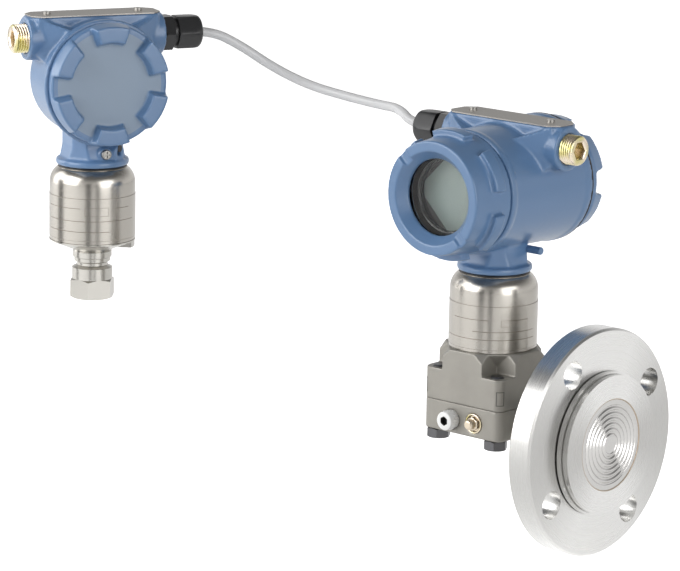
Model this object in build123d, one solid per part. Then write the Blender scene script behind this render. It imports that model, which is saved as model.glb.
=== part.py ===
# Two-sensor pressure transmitter: a main unit with a display on a flanged diaphragm seal, a remote
# unit on a threaded fitting, and the cable that joins them.
# Millimetres, +Z up. The origin is the centre of the process flange's front bolt face, +X points
# out towards the process, and the main unit's display faces -Y.
# Each unit is drawn in a unit frame: its module's axis is Z, the neck flange's underside is at
# z = 0, its hubs lie along X and its front cover faces -Y.

import os
from math import cos, pi, radians, sin, tan

from build123d import *

os.makedirs("parts", exist_ok=True)

# Clearances
turning_gap = 0.3  # round a piece that turns or unscrews
seat_gap = 0.1  # round a fixed piece in its seat
thread_gap = 0.15  # between the crests of a screwed-in piece and its tapped hole

# Where the two units stand
main_x = -93.4
main_neck_z = 102.5
remote_x = -359.8
remote_y = -113.0
remote_neck_z = 152.6
remote_turn = 65.0
remote_rise = 3.0  # the remote housing stands this much higher on its neck

# Process flange: 2 inch, class 150
flange_od = 152.4
flange_thick = 17.5
flange_bevel = 1.5
flange_hole_d = 19.05
flange_edge = 6.35
flange_bolt_circle_d = flange_od - 2 * flange_edge - flange_hole_d
flange_hole_count = 4
flange_hole_turn = 32.5
flange_bore_d = 62.0

# Seal body and its diaphragm
seal_rear_d = 96.0
seal_rear_thick = 4.2
seal_relief_d = 90.0
seal_relief_depth = 0.9
seal_groove_d = 91.6
seal_groove_width = 0.9
seal_face_d = 93.0
seal_reach = 8.3
weld_outer_d = 62.0
recess_d = 57.0
recess_depth = 0.9
oil_gap = 0.5
foil_thick = 0.5
ripple_pitch = 3.55
ripple_height = 0.45
ripple_count = 6
foil_boss_d = 11.5
seal_neck_d = 36.0
seal_collar_d = 46.0
seal_collar_thick = 6.0
capillary_d = 3.0

# Sensor block under the main module
block_x = 66.0
block_y = 64.0
block_corner = 6.0
lower_bottom = -6.3
block_joint = 14.5
pocket_floor = 36.0
pocket_wide = 16.5
pocket_narrow = 9.0
top_slope = 45.0
bolt_spacing = 49.2
bolt_d = 9.5
bolt_head_af = 14.3
bolt_head_high = 6.4
bolt_proud = 1.2
vent_x = -8.0
vent_z = 3.2
fill_x = 11.2
fill_z = 3.6
side_plug_d = 10.4

# Sensor module
can_d = 59.0
can_wall = 1.6
can_drop = 51.9
can_top_drop = 4.6
dome_round = 10.0
label_thick = 0.25
label_low_drop = 49.4
label_high_drop = 20.0
spigot_d = 26.0
spigot_high = 12.0
spigot_wall = 4.5
ring_d = 47.0
cell_d = 44.0
cell_high = 15.0
board_thick = 1.6

# The block ends where the can stands on it
block_top = main_neck_z - can_drop

# Housing
bore_z = 56.4
body_front_d = 81.6
rear_taper = 4.2
rim_proud = 0.7
body_rear_d = body_front_d + rear_taper
body_rim_d = body_rear_d + 2 * rim_proud
front_seam = -34.5
rear_seam = 48.0
mouth_wall = 4.5
mouth_deep = 14.0
thread_step = 2.3
mouth_d = body_front_d - 2 * mouth_wall
front_bore_d = mouth_d - 2 * thread_step
rear_bore_d = mouth_d - thread_step
wall_front = -3.0
wall_rear = 3.0
neck_flange_d = 50.4
neck_flange_thick = 4.6
neck_width = 37.0
neck_corner = 7.5
neck_foot_d = 46.0
neck_flare_z = 13.5
wire_way_d = 16.0
set_boss_d = 12.0
set_boss_reach = 23.5
set_hole_d = 4.4
set_hole_z = 9.8
main_set_angle = -128.0
remote_set_angle = -57.0
ground_seat_y = 21.5
ground_seat_z = 9.5
ground_screw_d = 4.0
ground_screw_long = 4.0
ground_head_high = 2.4

# Hubs and name plate platform: both keep their place against the top of the barrel
hub_sink = 11.7
plate_rise = 3.6
hub_z = bore_z + (body_front_d / 2 - hub_sink)
hub_y = 13.8
hub_d = 30.0
hub_span = 98.0
hub_tap_d = 20.0
hub_tap_deep = 15.0
web_low_drop = 34.0
web_top_drop = 9.0
web_wide = 52.0
web_start = 20.0
web_end = 44.0
web_end_wide = 24.0
web_end_drop = 10.0
plate_top = bore_z + (body_front_d / 2 + plate_rise)
plate_long = 93.0
plate_wide = 27.0
plate_cut = 6.5
plate_thick = 0.8
plate_screw_span = 66.0
plate_screw_d = 3.0
plate_head_d = 5.2
plate_head_high = 1.9

# Covers
skirt_d = mouth_d - 2 * turning_gap
skirt_long = 12.0
skirt_wall = 3.6
ring_section = 1.6
seam_open = 1.0
seam_ring_d = body_rear_d - 1.6
lug_count = 6
lug_arc = 40.0
lug_start_turn = 90.0
cover_base_d = body_front_d + 1.4
cover_base_high = 7.0
lug_outer_d = body_rim_d - 2.6
lug_inner_d = lug_outer_d - 28.4
lug_high = 15.0
lug_draft = 1.8
display_seam_d = body_front_d - 0.6
display_face_d = display_seam_d - 5.4
display_high = 33.0
display_lug_d = display_seam_d + 7.6
display_lug_low = 9.0
display_lug_high = 17.5
bevel_d = display_face_d - 13.0
bevel_deep = 7.0
window_d = bevel_d - 11.8
lip_thick = 1.4
glass_d = window_d + 7.2
glass_thick = 10.0
clamp_thick = 3.5
notch_wide = 7.0
notch_deep = 2.2
notch_turn = 135.0

# Display and electronics
bezel_d = front_bore_d - 6.0
bezel_wall = 5.5
bezel_rim = 5.0
panel_thick = 2.4
panel_across = bezel_d - 18.0
panel_cut = 17.0
stack_d = front_bore_d - 4.0
block_d = rear_bore_d - 7.0
terminal_thick = 18.0
terminal_flat = 14.0
terminal_screw_d = 5.0
terminal_count = 3
terminal_pitch = 13.0

# Remote unit
remote_seam = -27.0
remote_back = 29.0
remote_wall = 5.0
remote_round = 18.0
remote_inner_round = 8.0
remote_hub_y = 1.0
cone_drop = 60.0
lip_high = 1.6
cone_end_d = 25.6
tab_wide = 16.0
tab_drop = 57.0
tab_turn = -28.0
collar_d = 27.0
collar_low_drop = 64.9
step_low_drop = 67.9
groove_low_drop = 70.7
groove_d = 21.4
barrel_d = 28.0
fitting_af = 28.0
fitting_top_drop = 80.4
fitting_low_drop = 93.9
port_d = 18.6
port_deep = 15.5

# Conduit plug and gland
plug_proud = 9.0
plug_in = 12.0
socket_af = 10.0
socket_deep = 8.0
gland_in = 10.0
gland_hex_af = 23.0
gland_hex_long = 8.0
gland_gap_long = 3.0
gland_neck_d = 19.0
gland_neck_long = 6.0
cap_af = 22.4
cap_long = 18.0
cap_mouth_d = 13.0
cap_wall = 3.0
sleeve_sunk = 1.2

# Link cable
cable_d = 6.6
remote_lead = 8.0
main_lead = 8.0
cable_route = [
    (-312.5, -17.5, 231.0),
    (-297.5, 1.5, 214.5),
    (-275.0, 14.5, 203.0),
    (-247.0, 21.5, 198.0),
    (-218.0, 24.0, 195.3),
    (-197.0, 21.0, 195.6),
]

# Unit frames
main_unit = Location((main_x, 0, main_neck_z))
remote_unit = Location((remote_x, remote_y, remote_neck_z), (0, 0, remote_turn))
remote_upper = remote_unit * Pos(0, 0, remote_rise)


def turned(*steps):
    # Solid of revolution about Z from the (radius, height) corners of its closed outline.
    return revolve(Plane.XZ * make_face(Polyline(*steps, close=True)), Axis.Z)


def rod(diameter, low, high):
    # Round bar on Z between two heights.
    return Pos(0, 0, low) * Cylinder(diameter / 2, high - low, align=(Align.CENTER, Align.CENTER, Align.MIN))


def prism(across_flats, low, high):
    # Hexagonal bar on Z between two heights.
    flat = RegularPolygon(across_flats / 2, 6, major_radius=False)
    return Pos(0, 0, low) * extrude(flat, high - low)


def facing(origin, direction):
    # Frame whose Z runs along direction, out of the piece, from origin, and whose Y points up.
    across = Vector(0, 0, 1).cross(Vector(*direction))
    return Plane(origin, x_dir=across, z_dir=direction).location


def rings(solid, diameter, height):
    # Circular edges of one diameter at one height on Z.
    def match(edge):
        return abs(edge.radius * 2 - diameter) < 0.01 and abs(edge.arc_center.Z - height) < 0.01

    return solid.edges().filter_by(GeomType.CIRCLE).filter_by(match)


def chamfered_prism(across_flats, low, high):
    # Hexagonal bar whose ends are turned back at 30 degrees, as a nut's are.
    corner = across_flats / 2 / cos(radians(30))
    drop = (corner - across_flats / 2) * tan(radians(30))
    outline = [(0, low), (across_flats / 2, low), (corner, low + drop), (corner, high - drop)]
    return prism(across_flats, low, high) & turned(*outline, (across_flats / 2, high), (0, high))


def save(name, *solids, unit=None):
    # Write one node; several solids are a group of like pieces.
    placed = [unit * solid if unit else solid for solid in solids]
    group = [piece for solid in placed for piece in solid.solids()]
    export_step(group[0] if len(group) == 1 else Compound(group), f"parts/{name}.step")
    return placed[0]


# Process flange
def process_flange():
    edge = flange_od / 2
    ring = turned(
        (flange_bore_d / 2, -flange_thick),
        (edge - flange_bevel, -flange_thick),
        (edge, -flange_thick + flange_bevel),
        (edge, -flange_bevel),
        (edge - flange_bevel, 0),
        (flange_bore_d / 2, 0),
    )
    hole = rod(flange_hole_d, -flange_thick - 1, 1)
    turn = Rot(0, 0, flange_hole_turn)
    holes = [turn * place * hole for place in PolarLocations(flange_bolt_circle_d / 2, flange_hole_count)]
    return process_axis * (ring - holes)


# The process axis: Z out along +X, X along +Y
process_axis = Plane((0, 0, 0), x_dir=(0, 1, 0), z_dir=(1, 0, 0)).location


def seal_body():
    hub = flange_bore_d / 2 - seat_gap
    rear = seal_rear_d / 2
    groove = seal_rear_thick + seal_groove_width
    floor = seal_reach - recess_depth - ripple_height - foil_thick - oil_gap
    return process_axis * turned(
        (capillary_d / 2, -flange_thick),
        (hub, -flange_thick),
        (hub, 0),
        (seal_relief_d / 2, 0),
        (seal_relief_d / 2, seal_relief_depth),
        (rear, seal_relief_depth),
        (rear, seal_rear_thick),
        (seal_groove_d / 2, seal_rear_thick),
        (seal_groove_d / 2, groove),
        (seal_face_d / 2, groove),
        (seal_face_d / 2, seal_reach),
        (weld_outer_d / 2, seal_reach),
        (weld_outer_d / 2, seal_reach - recess_depth),
        (recess_d / 2, seal_reach - recess_depth),
        (recess_d / 2, floor),
        (capillary_d / 2, floor),
    )


def ripple_points(height):
    # Turning points of the rippled foil's upper or lower side, from the centre outwards.
    start = foil_boss_d / 2
    points = [(0, height), (start, height)]
    for step in range(2 * ripple_count):
        swing = ripple_height if step % 2 == 0 else -ripple_height
        middle = start + (step + 0.5) * ripple_pitch / 2
        points.append((middle, height + swing))
        points.append((start + (step + 1) * ripple_pitch / 2, height))
    return points


def ripple_line(points):
    # Straight over the boss, then one arc for each half ripple.
    line = [Line(points[0], points[1])]
    for first in range(1, len(points) - 2, 2):
        line.append(ThreePointArc(points[first], points[first + 1], points[first + 2]))
    return line


def diaphragm():
    rim_low = seal_reach - recess_depth
    top = rim_low + foil_thick
    upper = ripple_points(top)
    lower = ripple_points(rim_low)
    edge = (weld_outer_d / 2 - seat_gap, top)
    under = (weld_outer_d / 2 - seat_gap, rim_low)
    closing = [
        Line(upper[-1], edge),
        Line(edge, under),
        Line(under, lower[-1]),
        Line(lower[0], upper[0]),
    ]
    outline = ripple_line(upper) + ripple_line(lower) + closing
    return process_axis * revolve(Plane.XZ * make_face(outline), Axis.Z)


def seal_neck():
    length = -(main_x + block_x / 2) - flange_thick
    collar = length - seal_collar_thick
    neck = turned(
        (capillary_d / 2, 0),
        (seal_neck_d / 2, 0),
        (seal_neck_d / 2, collar),
        (seal_collar_d / 2, collar + 2),
        (seal_collar_d / 2, length),
        (capillary_d / 2, length),
    )
    return process_axis * Pos(0, 0, -flange_thick - length) * neck


# Sensor block
bolt_places = GridLocations(bolt_spacing, bolt_spacing, 2, 2)


def block_slab(low, high):
    plan = RectangleRounded(block_x, block_y, block_corner)
    return Pos(main_x, 0, low) * extrude(plan, high - low)


def lower_block():
    block = block_slab(lower_bottom, block_joint)
    drill = rod(bolt_d + 2 * seat_gap, lower_bottom - 1, block_joint + 1)
    for place in bolt_places:
        block -= Pos(main_x, 0, 0) * place * drill
    sink = 1.6
    for across, up in ((vent_x, vent_z), (fill_x, fill_z)):
        place = facing((main_x + across, -block_y / 2, up), (0, -1, 0))
        block -= place * rod(side_plug_d + 2 * thread_gap, -12, 1)
        block -= place * turned((0, -sink), (side_plug_d / 2 + 0.4, -sink), (side_plug_d / 2 + 2.2, 0.2), (0, 0.2))
    side = facing((main_x + block_x / 2, 0, 0), (1, 0, 0))
    return block - side * rod(capillary_d, -20, 1)


def sensor_casting():
    block = block_slab(block_joint, block_top)
    reach = can_d / 2 + 0.5 + block_top * tan(radians(top_slope))
    cone = turned((0, 0), (reach, 0), (can_d / 2 + 0.5, block_top), (0, block_top))
    block = block & (Pos(main_x, 0, 0) * cone)
    drill = rod(bolt_d + 2 * seat_gap, block_joint - 1, pocket_floor + 1)
    margin = 4.0
    for x_side in (-1, 1):
        for y_side in (-1, 1):
            corner = Pos(main_x + x_side * block_x / 2, y_side * block_y / 2, 0)
            wide = pocket_wide + margin
            narrow = pocket_narrow + margin
            low = Pos(-x_side * (wide / 2 - margin), -y_side * (wide / 2 - margin), pocket_floor)
            high = Pos(-x_side * (narrow / 2 - margin), -y_side * (narrow / 2 - margin), block_top + 1)
            block -= corner * loft([low * Rectangle(wide, wide), high * Rectangle(narrow, narrow)])
    for place in bolt_places:
        block -= Pos(main_x, 0, 0) * place * drill
    return block


def block_bolt():
    shank = rod(bolt_d, lower_bottom, pocket_floor + bolt_proud)
    shank = chamfer(rings(shank, bolt_d, pocket_floor + bolt_proud), 0.8)
    return shank + chamfered_prism(bolt_head_af, lower_bottom - bolt_head_high, lower_bottom)


def vent_plug():
    # Taped socket plug, its thread wound with sealing tape under a collar.
    plug = turned(
        (0, -10), (side_plug_d / 2 - 0.6, -10), (side_plug_d / 2, -9), (side_plug_d / 2, 0.6),
        (side_plug_d / 2 + 1.0, 1.2), (side_plug_d / 2 + 1.0, 3.2), (side_plug_d / 2 - 0.6, 4.2),
        (side_plug_d / 2 - 0.6, 7.0), (side_plug_d / 2 - 1.4, 7.8), (0, 7.8),
    )
    plug -= prism(5.0, 3.0, 9.0)
    return facing((main_x + vent_x, -block_y / 2, vent_z), (0, -1, 0)) * plug


def fill_screw():
    screw = rod(side_plug_d, -10, -1.2) + prism(8.4, -1.2, 1.4)
    nose = turned((0, 1.4), (3.9, 1.4), (2.6, 3.4), (1.4, 4.6), (0, 4.8))
    return facing((main_x + fill_x, -block_y / 2, fill_z), (0, -1, 0)) * (screw + nose)


# Sensor module, in the unit frame
def module_can(low_drop):
    outer = can_d / 2
    inner = outer - can_wall
    top = -can_top_drop
    shell = turned(
        (inner, -low_drop), (outer, -low_drop), (outer, top), (spigot_d / 2 + seat_gap, top),
        (spigot_d / 2 + seat_gap, top - can_wall), (inner, top - can_wall),
    )
    shell = fillet(rings(shell, can_d, top), dome_round)
    return fillet(rings(shell, 2 * inner, top - can_wall), dome_round - can_wall)


def module_label():
    return turned(
        (can_d / 2, -label_low_drop), (can_d / 2 + label_thick, -label_low_drop),
        (can_d / 2 + label_thick, -label_high_drop), (can_d / 2, -label_high_drop),
    )


def neck_seal():
    ring = turned(
        (spigot_d / 2 + seat_gap, -can_top_drop), (ring_d / 2, -can_top_drop),
        (ring_d / 2, 0), (spigot_d / 2 + seat_gap, 0),
    )
    return fillet(rings(ring, ring_d, -can_top_drop) + rings(ring, ring_d, 0), 1.2)


def module_neck():
    inner = spigot_d / 2 - spigot_wall
    low = -can_top_drop - can_wall - 5.0
    return turned(
        (inner, low), (spigot_d / 2 + 4.0, low), (spigot_d / 2 + 4.0, -can_top_drop - can_wall),
        (spigot_d / 2, -can_top_drop - can_wall), (spigot_d / 2, spigot_high - 1),
        (spigot_d / 2 - 1, spigot_high), (inner, spigot_high),
    )


def sensor_cell(floor_drop):
    cell = turned(
        (0, -floor_drop), (cell_d / 2, -floor_drop), (cell_d / 2, -floor_drop + cell_high - 4),
        (cell_d / 2 - 7, -floor_drop + cell_high), (0, -floor_drop + cell_high),
    )
    return cell


def sensor_board(floor_drop):
    low = -floor_drop + cell_high
    board = rod(cell_d, low, low + board_thick)
    header = Pos(0, 0, low + board_thick + 3) * Box(16, 10, 6)
    return board + header


# Housing, in the unit frame
cover_front = facing((0, front_seam, bore_z), (0, -1, 0))
cover_rear = facing((0, rear_seam + seam_open, bore_z), (0, 1, 0))
bore_axis = Plane((0, 0, bore_z), x_dir=(-1, 0, 0), z_dir=(0, 1, 0)).location


def neck():
    # Round flange, eight facets closing in on a square column with cut corners.
    plan = chamfer(Rectangle(neck_width, neck_width).vertices(), neck_corner)
    foot = Rot(0, 0, 180 / 8) * RegularPolygon(neck_foot_d / 2, 8)
    flare = loft([Pos(0, 0, neck_flange_thick - 1) * foot, Pos(0, 0, neck_flare_z) * plan])
    column = Pos(0, 0, neck_flare_z) * extrude(plan, bore_z / 2 - neck_flare_z)
    flange = rod(neck_flange_d, 0, neck_flange_thick)
    flange = fillet(rings(flange, neck_flange_d, 0) + rings(flange, neck_flange_d, neck_flange_thick), 1.2)
    return flange + flare + column


ground_seat = facing((2.0, -ground_seat_y, ground_seat_z), (0, -1, 0))


def ground_pad():
    # Round pad on the neck's front and the tapped hole in it.
    pad = ground_seat * rod(ground_screw_d * 2.4, -6, 0)
    hole = ground_seat * rod(ground_screw_d + 2 * seat_gap, -ground_screw_long - 1, 1)
    return pad, hole


def neck_bores():
    spigot = rod(spigot_d + 2 * turning_gap, -1, spigot_high + 1)
    return spigot + rod(wire_way_d, 0, bore_z - rear_bore_d / 2 + wire_way_d / 2)


def set_boss(angle):
    # Boss on the neck and the tapped hole through it, along the given bearing.
    out = facing((0, 0, set_hole_z), (cos(radians(angle)), sin(radians(angle)), 0))
    boss = out * rod(set_boss_d, 0, set_boss_reach)
    hole = out * rod(set_hole_d, spigot_d / 2 - 2, set_boss_reach + 1)
    return boss, hole


def hub_bar(centre_y):
    # Hub at each end, sloped webs spreading into the body, flat platform on top.
    bar_plan = Pos(centre_y, hub_z) * Circle(hub_d / 2)
    rise = plate_top - hub_z
    bar_plan += Pos(centre_y, hub_z + rise / 2) * Rectangle(plate_wide, rise)
    bar = Plane.YZ * extrude(bar_plan, plate_long / 2 - plate_cut / 2, both=True)
    hubs = Plane.YZ * extrude(Pos(centre_y, hub_z) * Circle(hub_d / 2), hub_span / 2, both=True)
    bar += hubs
    wide_high = plate_top - web_top_drop - hub_z + web_low_drop
    slim_high = plate_top - hub_z + web_end_drop
    for side in (-1, 1):
        wide = Pos(centre_y, hub_z - web_low_drop + wide_high / 2, side * web_start)
        slim = Pos(centre_y, plate_top - slim_high / 2, side * web_end)
        wide_face = Plane.YZ * wide * Rectangle(web_wide, wide_high)
        bar += loft([wide_face, Plane.YZ * slim * Rectangle(web_end_wide, slim_high)])
    bar += Pos(0, centre_y, plate_top - 6) * extrude(plate_plan(plate_long + 1), 6)
    return bar


def hub_bores(centre_y):
    # Tapped hole in each hub, from its face inwards.
    tap = rod(hub_tap_d + 2 * thread_gap, -hub_tap_deep - 3, 1)
    return [facing((side * hub_span / 2, centre_y, hub_z), (side, 0, 0)) * tap for side in (-1, 1)]


def wire_bore(centre_y):
    across = Plane.YZ * Pos(centre_y, hub_z)
    return across * extrude(Circle(hub_tap_d / 2 - 1.5), hub_span / 2 - hub_tap_deep + 1, both=True)


def plate_plan(long):
    return chamfer(Rectangle(long, plate_wide).vertices(), plate_cut)


def screw_drills(centre_y):
    drill = rod(plate_screw_d + 2 * seat_gap, plate_top - 7, plate_top + 1)
    return [Pos(side * plate_screw_span / 2, centre_y, 0) * drill for side in (-1, 1)]


def main_housing():
    outer = bore_axis * turned(
        (0, front_seam), (body_front_d / 2 + 0.9, front_seam), (body_front_d / 2 + 0.9, front_seam + 4.5),
        (body_front_d / 2, front_seam + 5.4), (body_rear_d / 2, rear_seam - 5.5),
        (body_rim_d / 2, rear_seam - 4.6), (body_rim_d / 2, rear_seam), (0, rear_seam),
    )
    boss, hole = set_boss(main_set_angle)
    body = outer + hub_bar(hub_y) + neck() + boss
    pocket = ring_section + turning_gap
    front_room = turned(
        (0, wall_front), (0, front_seam - 1), (skirt_d / 2 + pocket + turning_gap, front_seam - 1),
        (skirt_d / 2 + pocket + turning_gap, front_seam + pocket), (mouth_d / 2, front_seam + pocket),
        (mouth_d / 2, front_seam + mouth_deep), (front_bore_d / 2, front_seam + mouth_deep),
        (front_bore_d / 2, wall_front),
    )
    rear_room = turned(
        (0, wall_rear), (rear_bore_d / 2, wall_rear), (rear_bore_d / 2, rear_seam - mouth_deep),
        (mouth_d / 2, rear_seam - mouth_deep), (mouth_d / 2, rear_seam + 1), (0, rear_seam + 1),
    )
    body -= bore_axis * front_room
    body -= bore_axis * rear_room
    body -= [*hub_bores(hub_y), wire_bore(hub_y), neck_bores(), hole]
    return body - screw_drills(hub_y)


hidden_ring_d = skirt_d + 2 * (ring_section + turning_gap)


def seam_ring(outer_d, thick):
    # O-ring on the cover's shoulder, flattened where it seals.
    inner = skirt_d / 2 + turning_gap
    ring = turned((inner, -thick), (outer_d / 2, -thick), (outer_d / 2, 0), (inner, 0))
    return fillet(rings(ring, outer_d, 0) + rings(ring, outer_d, -thick), thick / 3)


def skirt(low, top):
    outer = skirt_d / 2
    return turned(
        (outer - skirt_wall, low), (outer - 1, low), (outer, low + 1), (outer, top), (outer - skirt_wall, top)
    )


def lug(inner_d, outer_d, low, high, draft):
    # One raised arc lug centred on X, its sides drawn in towards the top by draft.
    def sector(shrink):
        ring = Circle(outer_d / 2 - shrink) - Circle(inner_d / 2 + shrink)
        half = radians(lug_arc / 2)
        reach = outer_d
        cheek = shrink / sin(half)
        wedge = make_face(
            Polyline((cheek, 0), (cheek + reach * cos(half), reach * sin(half)),
                     (cheek + reach * cos(half), -reach * sin(half)), close=True)
        )
        return ring & wedge

    return loft([Pos(0, 0, low) * sector(0), Pos(0, 0, high) * sector(draft)])


def lugged_cover():
    # Blind cover: a recessed disc inside six raised lugs; local Z points out, the shoulder is at 0.
    base = rod(cover_base_d, 0, cover_base_high)
    base = fillet(rings(base, cover_base_d, cover_base_high), 1.5)
    hollow = rod(skirt_d - 2 * skirt_wall, -1, cover_base_high - 4)
    cover = base - hollow + skirt(-skirt_long, 1)
    shape = lug(lug_inner_d, lug_outer_d, cover_base_high - 3, lug_high, lug_draft)
    for place in PolarLocations(0, lug_count, start_angle=lug_start_turn):
        cover += place * shape
    return cover


def display_cover():
    # Cover with a window: bevelled mouth, glass seat and a ring of lugs near the shoulder.
    slope = (display_seam_d - display_face_d) / 2 / display_high
    outer = turned(
        (0, 0), (display_seam_d / 2, 0), (display_seam_d / 2 - slope * display_high, display_high),
        (0, display_high),
    )
    outer = fillet(rings(outer, display_face_d, display_high), 1.0)
    collar = lug(display_seam_d - 8, display_lug_d, display_lug_low, display_lug_high, 0.9)
    for place in PolarLocations(0, lug_count, start_angle=lug_start_turn):
        outer += place * collar
    lip_outer = display_high - bevel_deep
    lip_inner = lip_outer - lip_thick
    seat = lip_inner - glass_thick
    room = turned(
        (0, -1), (skirt_d / 2 - skirt_wall, -1), (skirt_d / 2 - skirt_wall, seat - clamp_thick),
        (glass_d / 2 + seat_gap, seat - clamp_thick), (glass_d / 2 + seat_gap, lip_inner),
        (window_d / 2, lip_inner), (window_d / 2, lip_outer), (bevel_d / 2, display_high + 0.01),
        (bevel_d / 2, display_high + 1), (0, display_high + 1),
    )
    cover = outer - room + skirt(-skirt_long, 1)
    for turn in (notch_turn, notch_turn + 180):
        bar = Pos(display_face_d / 2, 0, display_high) * Box(display_face_d / 2, notch_wide, 2 * notch_deep)
        cover -= Rot(0, 0, turn) * bar
    return cover


glass_back = display_high - bevel_deep - lip_thick - glass_thick


bezel_reach = glass_back - clamp_thick - turning_gap


def window_glass():
    pane = rod(glass_d, glass_back, glass_back + glass_thick)
    return chamfer(rings(pane, glass_d, glass_back) + rings(pane, glass_d, glass_back + glass_thick), 0.5)


def window_ring():
    outer = glass_d / 2
    return turned(
        (window_d / 2 - 0.5, glass_back - clamp_thick), (outer, glass_back - clamp_thick),
        (outer, glass_back), (window_d / 2 - 0.5, glass_back),
    )


def panel_plan(grow):
    # Square set on its corner with its left and right corners cut off.
    side = panel_across + 2 * grow
    turned_square = Rot(0, 0, 45) * Rectangle(side, side)
    return turned_square & Rectangle(2 * (side / 2 + panel_cut / 4), 2 * (side / 2 + panel_cut / 4))


def display_bezel():
    # Black cup over the display panel, standing on the electronics module.
    low = -front_seam_depth + stack_high
    bezel = rod(bezel_d, low, bezel_reach)
    bezel = chamfer(rings(bezel, bezel_d, bezel_reach), 1.0)
    sink = bezel_reach - bezel_rim
    bezel -= rod(bezel_d - 2 * bezel_wall, sink, bezel_reach + 1)
    return bezel - Pos(0, 0, sink - panel_thick) * extrude(panel_plan(seat_gap), panel_thick + 1)


def lcd_panel():
    sink = bezel_reach - bezel_rim
    return Pos(0, 0, sink - panel_thick) * extrude(panel_plan(0), panel_thick)


front_seam_depth = wall_front - front_seam
stack_high = 18.0


def electronics_board():
    # Potted electronics module standing on the wall between the compartments.
    module = rod(stack_d, -front_seam_depth, -front_seam_depth + stack_high)
    return module - Pos(0, -stack_d / 2, 0) * Box(20, 8, 100)


rear_depth = rear_seam + seam_open - wall_rear


def terminal_block():
    # Moulded block with a flat top that leaves the conduit entries free, and a stepped front.
    top = -rear_depth + terminal_thick
    block = rod(block_d, -rear_depth, top)
    block &= Pos(0, terminal_flat - 50, 0) * Box(100, 100, 200)
    step = Pos(0, terminal_flat - 4, top) * Box(100, 8, 8)
    block -= step
    well = rod(terminal_screw_d + 2 * seat_gap, top - 6, top + 1)
    for place in GridLocations(terminal_pitch, 1, terminal_count, 1):
        block -= place * well
    return block


def terminal_screw():
    top = -rear_depth + terminal_thick
    screw = rod(terminal_screw_d, top - 6, top) + rod(terminal_screw_d + 3, top, top + 2.4)
    return screw - Pos(0, 0, top + 2.4) * Box(20, 1.1, 1.6)


def nameplate(centre_y):
    plate = Pos(0, centre_y, plate_top) * extrude(plate_plan(plate_long), plate_thick)
    return plate - screw_drills(centre_y)


def plate_screws(centre_y):
    high = plate_top + plate_thick
    screw = rod(plate_screw_d, plate_top - 6, high) + rod(plate_head_d, high, high + plate_head_high)
    slot = Pos(0, 0, high + plate_head_high) * Box(20, 0.9, 1.6)
    return [Pos(side * plate_screw_span / 2, centre_y, 0) * (screw - slot) for side in (-1, 1)]


def conduit_plug():
    # Local Z points out of the hub from its face.
    plug = rod(hub_tap_d, -plug_in, plug_proud)
    plug = chamfer(rings(plug, hub_tap_d, plug_proud) + rings(plug, hub_tap_d, -plug_in), 1.2)
    return plug - prism(socket_af, plug_proud - socket_deep, plug_proud + 1)


gland_mouth = gland_hex_long + gland_gap_long + cap_long
sleeve_low = gland_hex_long + gland_gap_long + gland_neck_long


def gland_body():
    bore = cable_d + 6
    body = rod(hub_tap_d, -gland_in, 0.5) + chamfered_prism(gland_hex_af, 0, gland_hex_long)
    body += rod(gland_neck_d, gland_hex_long, sleeve_low)
    return body - rod(bore, -gland_in - 1, gland_mouth)


def gland_nut():
    low = gland_hex_long + gland_gap_long
    corner = cap_af / 2 / cos(radians(30))
    shape = prism(cap_af, low, gland_mouth)
    dome = turned((0, low), (corner, low), (corner, gland_mouth), (0, gland_mouth))
    dome = fillet(rings(dome, 2 * corner, gland_mouth), 4.5)
    dome = chamfer(rings(dome, 2 * corner, low), 0.8)
    nut = shape & dome
    nut -= rod(gland_neck_d + 2 * seat_gap, low - 1, gland_mouth - cap_wall)
    return nut - rod(cap_mouth_d, low, gland_mouth + 1)


def gland_insert():
    # Rubber sleeve squeezed round the cable, from the body's end to just inside the nut's mouth.
    inner = cable_d / 2 + seat_gap
    outer = cap_mouth_d / 2 - seat_gap
    shoulder = gland_mouth - cap_wall - seat_gap
    return turned(
        (inner, sleeve_low), (outer + 2, sleeve_low), (outer + 2, shoulder), (outer, shoulder),
        (outer, gland_mouth - sleeve_sunk), (inner, gland_mouth - sleeve_sunk),
    )


def remote_ground_screw():
    # Cross-recessed earth screw on a flat of the neck's front.
    head = ground_screw_d * 1.75
    screw = rod(ground_screw_d, -ground_screw_long, 0) + rod(head, 0, ground_head_high)
    screw = fillet(rings(screw, head, ground_head_high), 0.9)
    for turn in (0, 90):
        screw -= Rot(0, 0, turn) * Pos(0, 0, ground_head_high) * Box(head * 0.65, 1.0, 1.8)
    return ground_seat * screw


def set_screw(angle):
    out = facing((0, 0, set_hole_z), (cos(radians(angle)), sin(radians(angle)), 0))
    low = spigot_d / 2 + turning_gap
    screw = rod(set_hole_d - 2 * seat_gap, low, low + 5) - prism(2.0, low + 3, low + 6)
    return out * screw


# Remote unit, in the unit frame
remote_front = facing((0, remote_seam, bore_z), (0, -1, 0))


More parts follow.
